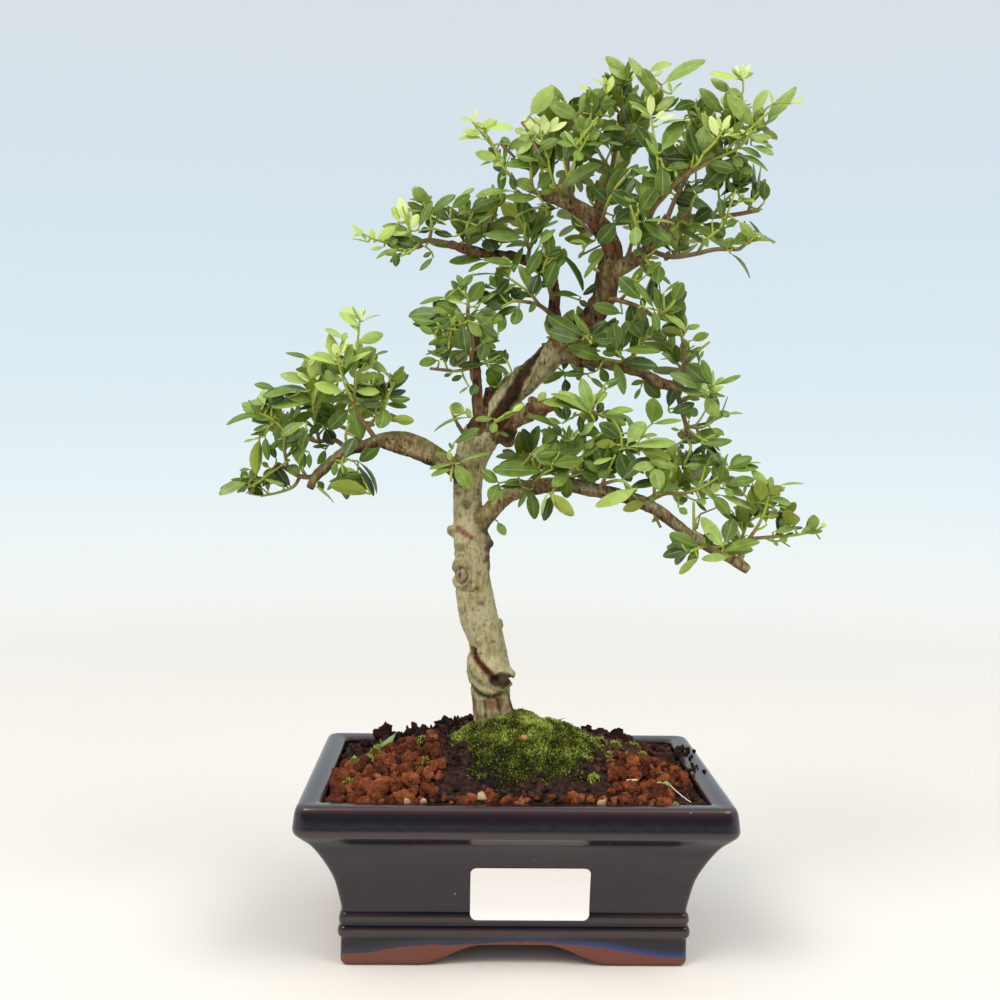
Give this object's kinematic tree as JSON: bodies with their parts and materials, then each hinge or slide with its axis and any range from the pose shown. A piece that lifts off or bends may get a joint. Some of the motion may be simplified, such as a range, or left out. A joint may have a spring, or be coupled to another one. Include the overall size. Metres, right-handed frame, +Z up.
{
  "type": "japanese holly bonsai",
  "caption": "Informal upright Japanese holly bonsai with a curved trunk and leafy branch pads, in a rectangular glazed clay pot with moss and granules.",
  "frame": {"origin": "on the table, under the middle of the whole tree and pot", "axes": "+X to the right along the pot's long side, +Y to the back, +Z up; the front is -Y"},
  "size_m": [0.2962, 0.15, 0.4265],
  "materials": {
    "glaze": "glossy",
    "mesh_plastic": "matte",
    "bark": "rough bark",
    "peat": "damp peat",
    "fired_clay": "unglazed",
    "moss": "soft",
    "label_paper": "satin",
    "leaf": "waxy",
    "young_leaf": "waxy"
  },
  "bodies": {
    "root": {"pot": "glaze", "screen_left": "mesh_plastic", "screen_right": "mesh_plastic", "trunk": "bark", "soil": "peat", "granules_left": "fired_clay", "granules_right": "fired_clay", "moss": "moss", "label": "label_paper", "left_top": "leaf", "left_front": "leaf", "left_mid": "leaf", "left_back": "leaf", "left_end": "leaf", "upper_left_end": "leaf", "upper_left_mid": "leaf", "upper_left_inner": "leaf", "upper_left_under": "leaf", "upper_left_base": "leaf", "middle_left": "leaf", "trunk_sprout_left": "leaf", "trunk_sprout_front": "leaf", "trunk_sprout_low": "leaf", "apex_left_end": "leaf", "apex_left": "leaf", "apex_back_left": "leaf", "apex_top": "leaf", "apex_front": "leaf", "apex_right_front": "leaf", "apex_right_top": "leaf", "apex_right": "leaf", "apex_right_low": "leaf", "apex_centre": "leaf", "apex_far_back": "leaf", "apex_far_left": "leaf", "right_upper": "leaf", "right_whorl": "leaf", "right_inner": "leaf", "right_top": "leaf", "right_low": "leaf", "right_back": "leaf", "lower_middle": "leaf", "lower_front": "leaf", "lower_hanging": "leaf", "lower_centre": "leaf", "lower_back": "leaf", "lower_right": "leaf", "lower_right_end": "leaf", "lower_right_front": "leaf", "young_left_tall": "young_leaf", "young_left": "young_leaf", "young_left_small": "young_leaf", "young_upper_left_end": "young_leaf", "young_upper_left": "young_leaf", "young_apex_left_end": "young_leaf", "young_apex_left": "young_leaf", "young_apex_front": "young_leaf", "young_apex_right": "young_leaf", "young_apex_top": "young_leaf"}
  },
  "joints": []
}
